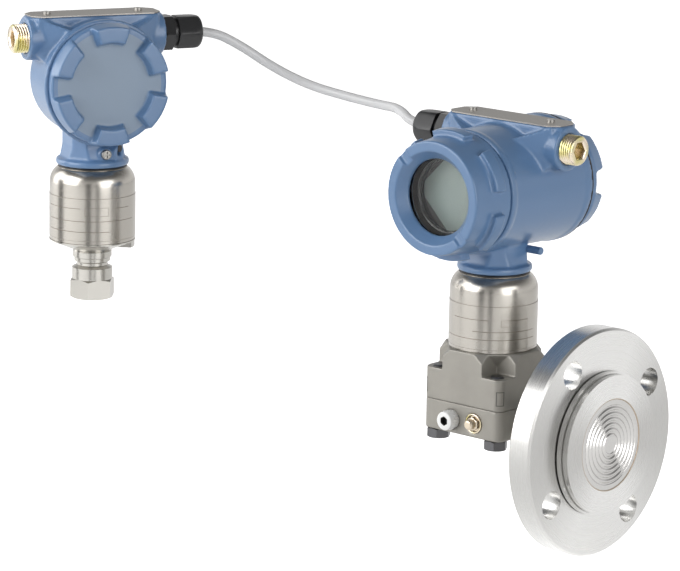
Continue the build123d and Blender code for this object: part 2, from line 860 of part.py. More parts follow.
def remote_housing():
    outer = turned(
        (0, remote_seam), (body_rim_d / 2, remote_seam), (body_rim_d / 2, remote_seam + 5),
        (body_front_d / 2 + 1, remote_seam + 6), (body_front_d / 2 - 1, remote_back), (0, remote_back),
    )
    outer = bore_axis * fillet(rings(outer, body_front_d - 2, remote_back), remote_round)
    boss, hole = set_boss(remote_set_angle)
    pad, ground_hole = ground_pad()
    raised = Pos(0, 0, remote_rise)
    body = raised * (outer + hub_bar(remote_hub_y)) + neck() + boss + pad
    inner_d = front_bore_d
    pocket = ring_section + turning_gap
    room = turned(
        (0, remote_back - remote_wall), (0, remote_seam - 1), (skirt_d / 2 + pocket + turning_gap, remote_seam - 1),
        (skirt_d / 2 + pocket + turning_gap, remote_seam + pocket), (mouth_d / 2, remote_seam + pocket),
        (mouth_d / 2, remote_seam + mouth_deep), (inner_d / 2, remote_seam + mouth_deep),
        (inner_d / 2, remote_back - remote_wall),
    )
    room = bore_axis * fillet(rings(room, inner_d, remote_back - remote_wall), remote_inner_round)
    body -= [raised * cut for cut in (room, *hub_bores(remote_hub_y), wire_bore(remote_hub_y))]
    body -= [neck_bores(), hole, ground_hole]
    return body - [raised * drill for drill in screw_drills(remote_hub_y)]


def remote_terminal_block():
    floor = remote_back - remote_wall
    block = bore_axis * rod(block_d - 14, floor - terminal_thick, floor)
    block &= Pos(0, 0, bore_z + terminal_flat - 50) * Box(100, 100, 100)
    return block


def remote_terminal_screws():
    level = remote_back - remote_wall - terminal_thick
    out = facing((0, level, bore_z), (0, -1, 0))
    screw = rod(terminal_screw_d + 2, 0, 2.4) - Pos(0, 0, 2.4) * Box(20, 1.1, 1.6)
    return [out * place * screw for place in GridLocations(terminal_pitch, 1, terminal_count, 1)]


def remote_base():
    # Welded bottom of the can: a lip, a shallow cone and a tab at one side.
    base = turned(
        (0, -cone_drop), (cone_end_d / 2, -cone_drop), (can_d / 2 - 1, -can_drop - lip_high),
        (can_d / 2 + 0.3, -can_drop - lip_high + 0.8), (can_d / 2 + 0.3, -can_drop), (0, -can_drop),
    )
    tab = Pos(can_d / 4 + 2, 0, (-tab_drop - can_drop) / 2)
    tab = tab * Box(can_d / 2 - 4, tab_wide, tab_drop - can_drop)
    trim = rod(can_d - 0.4, -tab_drop, -can_drop)
    return base + Rot(0, 0, tab_turn) * (tab & trim)


def remote_process_neck():
    # Stepped stub welded under the cone: a collar, a narrower ring and a groove.
    inner = capillary_d / 2
    step_d = collar_d - 2.0
    return turned(
        (inner, -groove_low_drop), (inner, -cone_drop), (collar_d / 2 - 0.6, -cone_drop),
        (collar_d / 2, -cone_drop - 1.0), (collar_d / 2, -collar_low_drop), (step_d / 2, -collar_low_drop - 0.6),
        (step_d / 2, -step_low_drop), (groove_d / 2, -step_low_drop - 1.0), (groove_d / 2, -groove_low_drop),
    )


def remote_fitting():
    # Round barrel on a hexagon, bored from below for the process pipe.
    barrel = turned(
        (0, -groove_low_drop), (groove_d / 2, -groove_low_drop), (barrel_d / 2, -groove_low_drop - 1.8),
        (barrel_d / 2, -fitting_top_drop), (0, -fitting_top_drop),
    )
    nut = barrel + chamfered_prism(fitting_af, -fitting_low_drop, -fitting_top_drop)
    port = rod(port_d, -fitting_low_drop - 1, -fitting_low_drop + port_deep)
    return nut - port - rod(capillary_d, -fitting_low_drop, -groove_low_drop + 1)


# Link cable
def cable_points():
    # From inside the remote gland's sleeve to inside the main gland's.
    inside = hub_span / 2 + sleeve_low
    mouth = hub_span / 2 + gland_mouth
    start = [remote_upper * Location((out, remote_hub_y, hub_z)) for out in (inside, mouth + remote_lead)]
    end = [main_unit * Location((-out, hub_y, hub_z)) for out in (mouth + main_lead, inside)]
    route = [Vector(*point) for point in cable_route]
    return [place.position for place in start] + route + [place.position for place in end]


def link_cable():
    points = cable_points()
    bends = []
    for before, here, after in zip(points, points[1:], points[2:]):
        turn = radians((here - before).get_angle(after - here))
        shorter = min((here - before).length, (after - here).length)
        bends.append(0.45 * shorter / tan(turn / 2))
    path = FilletPolyline(*points, radius=bends)
    profile = Plane(points[0], z_dir=points[1] - points[0]) * Circle(cable_d / 2)
    tube = sweep(profile, path)
    print("cable radii", [round(bend, 1) for bend in bends])
    print("cable length", round(path.length, 1), "volume share", round(
        tube.volume / (pi * cable_d**2 / 4 * path.length), 5))
    return tube


save("process_flange", process_flange())
save("seal_body", seal_body())
save("diaphragm", diaphragm())
save("seal_neck", seal_neck())
save("lower_block", lower_block())
save("sensor_casting", sensor_casting())
save("block_bolts", *[Pos(main_x, 0, 0) * place * block_bolt() for place in bolt_places])
save("vent_plug", vent_plug())
save("fill_screw", fill_screw())

for unit, prefix in ((main_unit, ""), (remote_unit, "remote_")):
    save(prefix + "module_can", module_can(can_drop), unit=unit)
    save(prefix + "module_label", module_label(), unit=unit)
    save(prefix + "neck_seal", neck_seal(), unit=unit)
    save(prefix + "module_neck", module_neck(), unit=unit)
    save(prefix + "sensor_cell", sensor_cell(can_drop), unit=unit)
    save(prefix + "sensor_board", sensor_board(can_drop), unit=unit)

save("main_housing", main_housing(), unit=main_unit)
save("display_cover", cover_front * display_cover(), unit=main_unit)
save("display_cover_seal", cover_front * seam_ring(hidden_ring_d, ring_section), unit=main_unit)
save("window_glass", cover_front * window_glass(), unit=main_unit)
save("window_ring", cover_front * window_ring(), unit=main_unit)
save("display_bezel", cover_front * display_bezel(), unit=main_unit)
save("lcd_panel", cover_front * lcd_panel(), unit=main_unit)
save("electronics_module", cover_front * electronics_board(), unit=main_unit)
save("rear_cover", cover_rear * lugged_cover(), unit=main_unit)
save("rear_cover_seal", cover_rear * seam_ring(seam_ring_d, seam_open), unit=main_unit)
save("terminal_block", cover_rear * terminal_block(), unit=main_unit)
save("terminal_screws", *[cover_rear * place * terminal_screw()
                          for place in GridLocations(terminal_pitch, 1, terminal_count, 1)], unit=main_unit)
save("nameplate", nameplate(hub_y), unit=main_unit)
save("nameplate_screws", *plate_screws(hub_y), unit=main_unit)
save("set_screw", set_screw(main_set_angle), unit=main_unit)

plug_side = facing((hub_span / 2, hub_y, hub_z), (1, 0, 0))
gland_side = facing((-hub_span / 2, hub_y, hub_z), (-1, 0, 0))
save("conduit_plug", plug_side * conduit_plug(), unit=main_unit)
save("gland_body", gland_side * gland_body(), unit=main_unit)
save("gland_nut", gland_side * gland_nut(), unit=main_unit)
save("gland_insert", gland_side * gland_insert(), unit=main_unit)

save("remote_housing", remote_housing(), unit=remote_unit)
save("remote_cover", remote_front * lugged_cover(), unit=remote_upper)
save("remote_cover_seal", remote_front * seam_ring(hidden_ring_d, ring_section), unit=remote_upper)
save("remote_terminal_block", remote_terminal_block(), unit=remote_upper)
save("remote_terminal_screws", *remote_terminal_screws(), unit=remote_upper)
save("remote_nameplate", nameplate(remote_hub_y), unit=remote_upper)
save("remote_nameplate_screws", *plate_screws(remote_hub_y), unit=remote_upper)
save("remote_set_screw", set_screw(remote_set_angle), unit=remote_unit)
remote_plug_side = facing((-hub_span / 2, remote_hub_y, hub_z), (-1, 0, 0))
remote_gland_side = facing((hub_span / 2, remote_hub_y, hub_z), (1, 0, 0))
save("remote_plug", remote_plug_side * conduit_plug(), unit=remote_upper)
save("remote_gland_body", remote_gland_side * gland_body(), unit=remote_upper)
save("remote_gland_nut", remote_gland_side * gland_nut(), unit=remote_upper)
save("remote_gland_insert", remote_gland_side * gland_insert(), unit=remote_upper)
save("remote_ground_screw", remote_ground_screw(), unit=remote_unit)
save("remote_module_base", remote_base(), unit=remote_unit)
save("remote_process_neck", remote_process_neck(), unit=remote_unit)
save("remote_fitting", remote_fitting(), unit=remote_unit)
save("link_cable", link_cable())
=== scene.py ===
from math import cos, pi, radians, sin

import bmesh
import bpy
import numpy as np
from mathutils import Matrix, Vector


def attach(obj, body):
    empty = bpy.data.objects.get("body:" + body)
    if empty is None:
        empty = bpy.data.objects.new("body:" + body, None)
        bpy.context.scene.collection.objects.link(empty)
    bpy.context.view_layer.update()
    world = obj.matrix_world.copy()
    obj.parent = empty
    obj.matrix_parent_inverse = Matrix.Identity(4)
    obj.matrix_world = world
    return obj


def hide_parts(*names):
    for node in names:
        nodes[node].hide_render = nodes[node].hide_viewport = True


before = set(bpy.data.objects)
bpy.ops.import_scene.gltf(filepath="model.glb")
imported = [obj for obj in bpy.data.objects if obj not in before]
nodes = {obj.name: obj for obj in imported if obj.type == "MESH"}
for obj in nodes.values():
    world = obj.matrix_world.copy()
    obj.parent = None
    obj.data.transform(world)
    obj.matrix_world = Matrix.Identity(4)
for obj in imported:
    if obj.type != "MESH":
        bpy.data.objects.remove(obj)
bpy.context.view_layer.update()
mm = 0.001
print("frame loaded")


# The two units as part.py places them. Each unit's own axes have Z up its module, X along its hubs and
# its front cover towards -Y.
mainSpot = (-93.4, 0.0, 102.5)
remoteSpot = (-359.8, -113.0, 152.6)
remoteTurn = radians(65)
mainUnit = Matrix.Translation(Vector(mainSpot))
remoteUnit = Matrix.Translation(Vector(remoteSpot)) @ Matrix.Rotation(remoteTurn, 4, "Z")
remoteUpper = remoteUnit @ Matrix.Translation(Vector((0, 0, 3.0)))
hub = {"span": 98.0, "mainY": 13.8, "remoteY": 1.0, "z": 85.5}
boreZ = 56.4
# Sensor block: half its width and depth and the round of its corners, and the X and Z of its two side plugs
slab = {"x": 33.0, "y": 32.0, "round": 6.0, "tape": (-101.4, 3.2), "fill": (-82.2, 3.6)}


# Camera fitted to the photograph: the place in millimetres, three turns in degrees, the lens in pixels
def makeCamera():
    view = {"place": (1383.8, -1841.1, 601.1), "turn": 41.24, "rise": 12.25, "roll": 1.03, "focal": 3612.87,
            "width": 680.0, "sensor": 36.0}
    turn, rise, roll = radians(view["turn"]), radians(view["rise"]), radians(view["roll"])
    back = Vector((sin(turn) * cos(rise), -cos(turn) * cos(rise), sin(rise)))
    level = Vector((cos(turn), sin(turn), 0))
    upright = back.cross(level)
    right = level * cos(roll) + upright * sin(roll)
    up = upright * cos(roll) - level * sin(roll)
    data = bpy.data.cameras.new("camera")
    data.sensor_width = view["sensor"]
    data.lens = view["focal"] / view["width"] * view["sensor"]
    data.clip_start, data.clip_end = 0.05, 30.0
    camera = bpy.data.objects.new("camera", data)
    bpy.context.scene.collection.objects.link(camera)
    axes = Matrix((right, up, back)).transposed().to_4x4()
    camera.matrix_world = Matrix.Translation(Vector(view["place"]) * mm) @ axes
    bpy.context.scene.camera = camera


makeCamera()
scene = bpy.context.scene
scene.view_settings.view_transform = "Standard"
scene.view_settings.look = "None"


# Shader sums written as Python sums
class Value:
    def __init__(self, tree, socket):
        self.tree = tree
        self.socket = socket

    def math(self, operation, other=None, flip=False):
        node = self.tree.nodes.new("ShaderNodeMath")
        node.operation = operation
        terms = [self] if other is None else [self, other]
        for place, term in zip(node.inputs, reversed(terms) if flip else terms):
            wire(self.tree, place, term)
        return Value(self.tree, node.outputs[0])

    def __add__(self, other):
        return self.math("ADD", other)

    def __sub__(self, other):
        return self.math("SUBTRACT", other)

    def __rsub__(self, other):
        return self.math("SUBTRACT", other, flip=True)

    def __mul__(self, other):
        return self.math("MULTIPLY", other)

    def __truediv__(self, other):
        return self.math("DIVIDE", other)

    def __rtruediv__(self, other):
        return self.math("DIVIDE", other, flip=True)

    __radd__ = __add__
    __rmul__ = __mul__

    # 0 under the edge and 1 over it, with a soft step between
    def over(self, edge, soft):
        step = (self - edge) / soft + 0.5
        return step.math("MINIMUM", 1.0).math("MAXIMUM", 0.0)


# 1 within half of the centre and 0 past it
def band(value, centre, half, soft):
    return 1 - (value - centre).math("ABSOLUTE").over(half, soft)


def wire(tree, place, term):
    if isinstance(term, Value):
        tree.links.new(term.socket, place)
    else:
        place.default_value = term


# A material whose even values are set on the shader and whose uneven ones are linked
class Look:
    def __init__(self, name, color, **sockets):
        self.material = bpy.data.materials.new(name)
        self.material.use_nodes = True
        self.tree = self.material.node_tree
        self.shader = self.tree.nodes["Principled BSDF"]
        self.shader.inputs["Base Color"].default_value = (*color, 1.0)
        for key, value in sockets.items():
            self.shader.inputs[key.replace("_", " ")].default_value = value

    def make(self, kind, settings=None, output=0, **sockets):
        node = self.tree.nodes.new("ShaderNode" + kind)
        for key, value in (settings or {}).items():
            setattr(node, key, value)
        for key, value in sockets.items():
            wire(self.tree, node.inputs[key.replace("_", " ")], value)
        return Value(self.tree, node.outputs[output])

    # Object coordinates, moved by offset and stretched by scale
    def place(self, offset=(0, 0, 0), scale=(1, 1, 1), turn=0.0):
        raw = self.make("TexCoord", output="Object")
        return self.make("Mapping", {"vector_type": "POINT"}, Vector=raw, Location=offset, Scale=scale,
                         Rotation=(0, 0, turn))

    def axes(self, vector):
        split = self.tree.nodes.new("ShaderNodeSeparateXYZ")
        wire(self.tree, split.inputs[0], vector)
        return [Value(self.tree, socket) for socket in split.outputs]

    def noise(self, scale, detail=2.0, vector=None):
        return self.make("TexNoise", Vector=vector or self.place(), Scale=scale, Detail=detail)

    def mix(self, mask, first, second):
        node = self.tree.nodes.new("ShaderNodeMix")
        node.data_type = "RGBA"
        wire(self.tree, node.inputs["Factor"], mask)
        for key, value in (("A", first), ("B", second)):
            place = [s for s in node.inputs if s.name == key and s.type == "RGBA"][0]
            wire(self.tree, place, value if isinstance(value, Value) else (*value, 1.0))
        return Value(self.tree, [s for s in node.outputs if s.type == "RGBA"][0])

    def link(self, key, value):
        self.tree.links.new(value.socket, self.shader.inputs[key])

    def bump(self, height, distance, strength=1.0):
        node = self.make("Bump", Height=height, Distance=distance, Strength=strength)
        self.link("Normal", node)


# Sprayed paint on a casting: a fine grain over a broader one, and a thin soft coat
def sprayed(name, color):
    paint = {"rough": 0.34, "spread": 0.05, "fine": 900.0, "broad": 260.0, "deep": 0.00006}
    look = Look(name, color, Roughness=paint["rough"], Coat_Weight=0.35, Coat_Roughness=0.22, IOR=1.5)
    grain = look.noise(paint["fine"], 2.0)
    look.bump(grain + look.noise(paint["broad"], 1.0) * 1.5, paint["deep"], 0.5)
    return look, grain * (2 * paint["spread"]) + (paint["rough"] - paint["spread"])


def paintLook(name, color):
    look, rough = sprayed(name, color)
    look.link("Roughness", rough)
    return look.material


# Turned flange steel with painted light: the base colour is painted brighter above and below the axis and
# darker beside it, a painted highlight that stands in for the fine rings' reflection
def flangeLook(name):
    steel = {"bright": (0.77, 0.765, 0.75), "dull": (0.52, 0.515, 0.50), "rough": 0.28, "spread": 0.04,
             "pitch": 0.0005, "deep": 0.0000022, "sector": 0.42, "sectorSoft": 0.8}
    look = Look(name, steel["bright"], Metallic=1.0, Roughness=steel["rough"])
    x, y, z = look.axes(look.place())
    square = y * y + z * z
    # Painted highlight share: 1 above and below the axis, where bright is used, and 0 beside it, where dull
    # is the painted shade
    upright = ((z * z) / (square + 0.000001)).over(steel["sector"], steel["sectorSoft"])
    look.link("Base Color", look.mix(upright, steel["dull"], steel["bright"]))
    rings = look.make("CombineXYZ", X=square.math("SQRT") * (1 / steel["pitch"]), Y=x * (1 / steel["pitch"]))
    grain = look.make("TexNoise", Vector=rings, Scale=1.0, Detail=2.0)
    look.link("Roughness", grain * (2 * steel["spread"]) + (steel["rough"] - steel["spread"]))
    look.bump(grain, steel["deep"], 0.5)
    return look.material


# Even metal, whose gloss a fine noise breaks up by the spread either way
def plainMetal(name, color, rough, scale=500.0, spread=0.05, depth=0.00003):
    look = Look(name, color, Metallic=1.0, Roughness=rough)
    grain = look.noise(scale, 3.0)
    look.link("Roughness", grain * (2 * spread) + (rough - spread))
    look.bump(grain, depth, 0.5)
    return look.material


# Even plastic, rubber or film with a faint grain
def plasticLook(name, color, rough, scale=700.0, depth=0.00003):
    look = Look(name, color, Roughness=rough, IOR=1.5)
    look.bump(look.noise(scale, 2.0), depth, 0.4)
    return look.material


# Spun steel can with its etched band: thin rules round it and ruled boxes, at turns in degrees from the
# side that faces the camera
def canLook(name, centre, rules, boxes):
    can = {"steel": (0.45, 0.427, 0.39), "etch": (0.17, 0.14, 0.11), "rough": 0.25, "seamLow": -0.0494,
           "seamHigh": -0.0200, "seam": 0.00018, "line": 0.0002, "radius": 0.02975, "facing": 48.8,
           "spread": 0.05, "deep": 0.000006, "lineShade": 0.9, "seamShade": 0.6, "dull": 0.2}
    look = Look(name, can["steel"], Metallic=1.0, Roughness=can["rough"])
    x, y, z = look.axes(look.place(offset=tuple(-c for c in centre)))
    turn = y.math("ARCTAN2", x)
    # Rubbing lines run round the can, so the grain is drawn out along the turn
    lines = look.make("CombineXYZ", X=turn * 1.6, Y=z * 2600.0)
    grain = look.make("TexNoise", Vector=lines, Scale=1.0, Detail=2.0)
    mark = z * 0
    for height, start, end in rules:
        middle, half = radians((start + end) / 2 - can["facing"]), radians(abs(end - start) / 2)
        mark = mark + band(z, height, can["line"], 0.0001) * band(turn, middle, half, 0.01)
    for height, high, start, end in boxes:
        middle, half = radians((start + end) / 2 - can["facing"]), radians(abs(end - start) / 2)
        edge = can["line"] / can["radius"]
        inner = band(z, height, high - can["line"], 0.0001) * band(turn, middle, half - edge, 0.004)
        mark = mark + band(z, height, high, 0.0001) * band(turn, middle, half, 0.004) * (1 - inner)
    seams = band(z, can["seamLow"], can["seam"], 0.0002) + band(z, can["seamHigh"], can["seam"], 0.0002)
    mark = (mark * can["lineShade"] + seams * can["seamShade"]).math("MINIMUM", 1.0)
    look.link("Base Color", look.mix(mark, can["steel"], can["etch"]))
    even = grain * (2 * can["spread"]) + (can["rough"] - can["spread"])
    look.link("Roughness", even + mark * can["dull"])
    look.bump(grain, can["deep"], 0.5)
    return look.material


# Remote cover: brighter lugs stand over a greyer cast disc
def discLook(name, unit, lugs, disc):
    cover = {"level": 0.0343, "soft": 0.0006, "rim": 0.0372, "rimSoft": 0.0004, "front": 0.030, "dull": 0.12}
    look, rough = sprayed(name, lugs)
    spot = unit.copy()
    spot.translation *= mm
    x, y, z = look.axes(look.place(offset=unturned(spot), turn=-remoteTurn))
    z = z - boreZ * mm
    radius = (x * x + z * z).math("SQRT")
    out = y * -1
    low, front = 1 - out.over(cover["level"], cover["soft"]), out.over(cover["front"], 0.001)
    flat = low * (1 - radius.over(cover["rim"], cover["rimSoft"])) * front
    look.link("Base Color", look.mix(flat, lugs, disc))
    look.link("Roughness", rough + flat * cover["dull"])
    return look.material


# Mapping turns about Z and then moves, so the offset is the turned place taken away
def unturned(place):
    back = Matrix.Rotation(-remoteTurn, 4, "Z") @ place.translation
    return tuple(-c for c in back)


# Taped plug: white, with painted shade that darkens the inside of the hexagon socket
def tapedLook(name, spot, color):
    plug = {"socket": 0.0031, "face": -0.0396, "paintedShade": (0.02, 0.02, 0.02)}
    look = Look(name, color, Roughness=0.45)
    x, y, z = look.axes(look.place(offset=(-spot[0] * mm, 0.0, -spot[1] * mm)))
    # Painted shade: the hexagon socket's inside, past the plug's face, is painted near black
    socketShade = (1 - (x * x + z * z).math("SQRT").over(plug["socket"], 0.0002)) * y.over(plug["face"], 0.0001)
    look.link("Base Color", look.mix(socketShade, color, plug["paintedShade"]))
    look.bump(look.noise(900.0, 3.0), 0.0001, 0.6)
    return look.material


# Blasted casting: half metal, half dull scale, with a broad mottle
def blastedLook(name, color, rough):
    cast = {"metal": 0.55, "mottle": 60.0, "pale": 1.16, "grain": 1400.0, "spread": 0.06, "deep": 0.00003}
    look = Look(name, color, Metallic=cast["metal"], Roughness=rough)
    mottle = look.noise(cast["mottle"], 3.0)
    pale = tuple(c * cast["pale"] for c in color)
    look.link("Base Color", look.mix(mottle.over(0.5, 0.5), color, pale))
    grain = look.noise(cast["grain"], 2.0)
    look.link("Roughness", grain * (2 * cast["spread"]) + (rough - cast["spread"]))
    look.bump(grain + mottle * 0.4, cast["deep"], 0.6)
    return look.material


# Yellow zinc: olive and rose tints that drift over it
def zincLook(name):
    zinc = {"olive": (0.62, 0.56, 0.27), "rose": (0.84, 0.73, 0.60), "rough": 0.24}
    look = Look(name, zinc["rose"], Metallic=1.0, Roughness=zinc["rough"])
    tint = look.noise(95.0, 1.0)
    look.link("Base Color", look.mix(tint.over(0.5, 0.22), zinc["olive"], zinc["rose"]))
    return look.material


mainAxis, remoteAxis = [tuple(c * mm for c in spot) for spot in (mainSpot, remoteSpot)]
blue = (0.106, 0.200, 0.362)
# Height and turns of each rule, then height, half height and turns of each box
canRules = [(-0.0292, -62, -8), (-0.0371, -30, 60), (-0.0425, -80, 62), (-0.0292, 20, 48)]
canBoxes = [(-0.0312, 0.0022, 8, 20)]
remoteRules = [(-0.0268, -70, -12), (-0.0356, -70, 70), (-0.0430, -70, 28), (-0.0268, 36, 60)]
remoteBoxes = [(-0.0365, 0.0062, -86, -70), (-0.0290, 0.0030, -6, 26)]
looks = {
    "paint": paintLook("bluePaint", blue),
    "discPaint": discLook("discPaint", remoteUpper, blue, (0.215, 0.285, 0.375)),
    "flange": flangeLook("flangeSteel"),
    "foil": plainMetal("foilSteel", (0.60, 0.59, 0.575), 0.24, 300.0, 0.02, 0.000002),
    "groove": plasticLook("grooveShade", (0.10, 0.095, 0.085), 0.6),
    "weld": plainMetal("weldBead", (0.44, 0.36, 0.28), 0.35),
    "mainCan": canLook("canSteel", mainAxis, canRules, canBoxes),
    "remoteCan": canLook("remoteCanSteel", remoteAxis, remoteRules, remoteBoxes),
    "fitting": plainMetal("fittingSteel", (0.50, 0.485, 0.45), 0.26, 500.0, 0.03, 0.000008),
    "block": blastedLook("blockSteel", (0.285, 0.272, 0.245), 0.46),
    "bolt": plainMetal("boltSteel", (0.13, 0.13, 0.135), 0.38),
    "screw": plainMetal("screwSteel", (0.42, 0.41, 0.39), 0.34),
    "groundSteel": plainMetal("groundSteel", (0.26, 0.255, 0.24), 0.34),
    "plate": plainMetal("plateSteel", (0.36, 0.34, 0.315), 0.46),
    "zinc": zincLook("zincYellow"),
    "bronze": plainMetal("bronze", (0.66, 0.57, 0.45), 0.34),
    "whitePlug": tapedLook("whitePlug", slab["tape"], (0.88, 0.88, 0.87)),
    "rubber": plasticLook("blackRubber", (0.012, 0.012, 0.013), 0.45),
    "nylon": plasticLook("blackNylon", (0.014, 0.014, 0.015), 0.34, 900.0, 0.000015),
    "blackPlastic": plasticLook("blackPlastic", (0.010, 0.010, 0.011), 0.32, 300.0, 0.000004),
    "panel": plasticLook("panelFilm", (0.245, 0.305, 0.285), 0.24, 200.0, 0.000001),
    "board": plasticLook("boardGreen", (0.02, 0.12, 0.05), 0.45),
    "potting": plasticLook("potting", (0.03, 0.03, 0.035), 0.5),
    "cable": plasticLook("cableGrey", (0.66, 0.66, 0.665), 0.34),
    "glossBlack": plasticLook("glossBlack", (0.012, 0.012, 0.012), 0.12, 300.0, 0.000002),
}
glass = Look("windowGlass", (0.97, 0.98, 0.97), Roughness=0.0, IOR=1.3, Transmission_Weight=1.0)
looks["glass"] = glass.material
nodeLooks = {
    "flange": ["process_flange", "seal_body", "seal_neck"],
    "foil": ["diaphragm"],
    "block": ["lower_block", "sensor_casting"],
    "bolt": ["block_bolts", "set_screw", "remote_set_screw"],
    "whitePlug": ["vent_plug"],
    "bronze": ["fill_screw"],
    "mainCan": ["module_can", "module_label", "module_neck"],
    "remoteCan": ["remote_module_can", "remote_module_label", "remote_module_neck"],
    "fitting": ["remote_module_base", "remote_process_neck", "remote_fitting"],
    "rubber": ["neck_seal", "display_cover_seal", "rear_cover_seal", "gland_insert", "remote_neck_seal",
               "remote_cover_seal", "remote_gland_insert"],
    "screw": ["sensor_cell", "terminal_screws", "nameplate_screws", "remote_sensor_cell",
              "remote_terminal_screws", "remote_nameplate_screws"],
    "groundSteel": ["remote_ground_screw"],
    "board": ["sensor_board", "remote_sensor_board"],
    "paint": ["main_housing", "display_cover", "rear_cover", "remote_housing"],
    "discPaint": ["remote_cover"],
    "glass": ["window_glass"],
    "blackPlastic": ["window_ring", "display_bezel", "terminal_block", "remote_terminal_block"],
    "panel": ["lcd_panel"],
    "potting": ["electronics_module"],
    "plate": ["nameplate", "remote_nameplate"],
    "zinc": ["conduit_plug", "remote_plug"],
    "nylon": ["gland_body", "gland_nut", "remote_gland_body", "remote_gland_nut"],
    "cable": ["link_cable"],
}


def dress(obj, look):
    obj.data.materials.clear()
    obj.data.materials.append(looks[look])


for look, names in nodeLooks.items():
    for name in names:
        dress(nodes[name], look)
print("materials made")


def addPiece(name, mesh, look, body, replaced=()):
    obj = bpy.data.objects.new(name, mesh)
    scene.collection.objects.link(obj)
    dress(obj, look)
    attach(obj, body)
    if replaced:
        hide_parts(*replaced)
    return obj


# Mesh of rows of points in millimetres: row r joins row r + 1 all the way round, each end is closed with a
# fan, and a looped outline joins its last row to its first
def gridMesh(name, rows, place=None, caps=(False, False), loop=False):
    rows = np.asarray(rows, float)
    high, wide = rows.shape[:2]
    row, step = np.meshgrid(np.arange(high if loop else high - 1), np.arange(wide), indexing="ij")
    after, above = (step + 1) % wide, (row + 1) % high
    faces = np.stack([row * wide + step, row * wide + after, above * wide + after, above * wide + step], -1)
    faces = faces.reshape(-1, 4).tolist()
    points = rows.reshape(-1, 3)
    ring = np.arange(wide)
    for closed, first, flip in ((caps[0], 0, True), (caps[1], (high - 1) * wide, False)):
        if closed:
            hub = np.full(wide, len(points))
            fan = np.stack([first + ring, first + (ring + 1) % wide, hub], 1)
            faces += (fan[:, ::-1] if flip else fan).tolist()
            points = np.concatenate([points, points[first:first + wide].mean(0, keepdims=True)])
    mesh = bpy.data.meshes.new(name)
    mesh.from_pydata(points.tolist(), [], faces)
    mesh.transform(Matrix.Scale(mm, 4) @ (place or Matrix.Identity(4)))
    mesh.polygons.foreach_set("use_smooth", [True] * len(mesh.polygons))
    mesh.set_sharp_from_angle(angle=radians(34))
    mesh.update()
    return mesh


# Points round Z: the radius times the cosine and sine of each angle, and the height
def roundAt(angle, radius, height):
    return np.stack([radius * np.cos(angle), radius * np.sin(angle), height + 0 * angle], -1)


# Radius of a hexagon at each angle: half its width over the cosine of the turn off a flat's middle
def hexagonAt(angle, flat):
    return flat / np.cos((angle + pi / 6) % (pi / 3) - pi / 6)


# Rows of a turned shape: the radius and height of the profile, carried round Z
def turnedRows(profile, steps=128):
    profile = np.asarray(profile, float)
    return roundAt(np.linspace(0, 2 * pi, steps, endpoint=False), profile[:, :1], profile[:, 1:])


# Quarter of an ellipse from (radius + across, low) up and in to (radius, low + high)
def shoulder(radius, across, low, high, steps=12):
    turn = np.linspace(0, pi / 2, steps)
    return np.stack([radius + across * np.cos(turn), low + high * np.sin(turn)], 1).tolist()


# Closed ring: a circle of the given thickness carried round Z at one height
def ringRows(radius, thick, height, steps=128):
    turn = np.linspace(0, 2 * pi, 16, endpoint=False)
    return turnedRows(np.stack([radius + thick * np.cos(turn), height + thick * np.sin(turn)], 1), steps)


# Skin remade in even cells and smoothed, so edges and inner corners are rounded as a casting's are
def softSkin(obj, cell, rounds):
    skin = obj.modifiers.new("skin", "REMESH")
    skin.mode, skin.voxel_size, skin.use_smooth_shade = "VOXEL", cell, True
    soft = obj.modifiers.new("soft", "SMOOTH")
    soft.factor, soft.iterations = 0.5, rounds
    made = bpy.data.meshes.new_from_object(obj.evaluated_get(bpy.context.evaluated_depsgraph_get()))
    obj.modifiers.clear()
    obj.data = made
    made.polygons.foreach_set("use_smooth", [True] * len(made.polygons))


def castPiece(name, node, look, body, slot, cell, rounds):
    mesh = nodes[node].data.copy()
    work = bmesh.new()
    work.from_mesh(mesh)
    bmesh.ops.remove_doubles(work, verts=work.verts, dist=0.000002)
    work.to_mesh(mesh)
    work.free()
    obj = addPiece(name, mesh, look, body, [node])
    softSkin(obj, cell, rounds)
    dress(obj, look)
    print(name, len(obj.data.polygons), "faces")


# Link cable, along part.py's route
def makeCable():
    cable = {
        "diameter": 0.0066,
        "length": 0.216,
        "points": [
            (-0.33281, -0.05276, 0.2411), (-0.32436, -0.03463, 0.2411), (-0.3125, -0.0175, 0.2310),
            (-0.2975, 0.0015, 0.2145), (-0.2750, 0.0145, 0.2030), (-0.2470, 0.0215, 0.1980),
            (-0.2180, 0.0240, 0.1953), (-0.1970, 0.0210, 0.1956), (-0.1794, 0.0138, 0.1880),
            (-0.1594, 0.0138, 0.1880),
        ],
    }
    curve = bpy.data.curves.new("linkCable", "CURVE")
    curve.dimensions = "3D"
    line = curve.splines.new("NURBS")
    line.points.add(len(cable["points"]) - 1)
    for point, place in zip(line.points, cable["points"]):
        point.co = (*place, 1.0)
    line.order_u = 3
    line.use_endpoint_u = True
    line.resolution_u = 16
    curve.bevel_depth = cable["diameter"] / 2
    curve.bevel_resolution = 8
    curve.use_fill_caps = True
    obj = bpy.data.objects.new("linkCable", curve)
    scene.collection.objects.link(obj)
    curve.materials.append(looks["cable"])
    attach(obj, "housing")
    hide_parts("link_cable")


makeCable()
print("cable made")

castings = [
    ("mainCasting", "main_housing", "paint", "housing", "blue_paint", 0.0010, 6),
    ("remoteCasting", "remote_housing", "paint", "housing", "blue_paint", 0.0010, 6),
    ("displayCap", "display_cover", "paint", "display_cap", "blue_paint", 0.0008, 3),
    ("rearCap", "rear_cover", "paint", "rear_cap", "blue_paint", 0.0008, 4),
    ("remoteCap", "remote_cover", "discPaint", "remote_cap", "disc_paint", 0.0008, 4),
    ("baseBlock", "lower_block", "block", "sensor_base", "block_steel", 0.0008, 3),
]
for casting in castings:
    castPiece(*casting)
print("castings made")


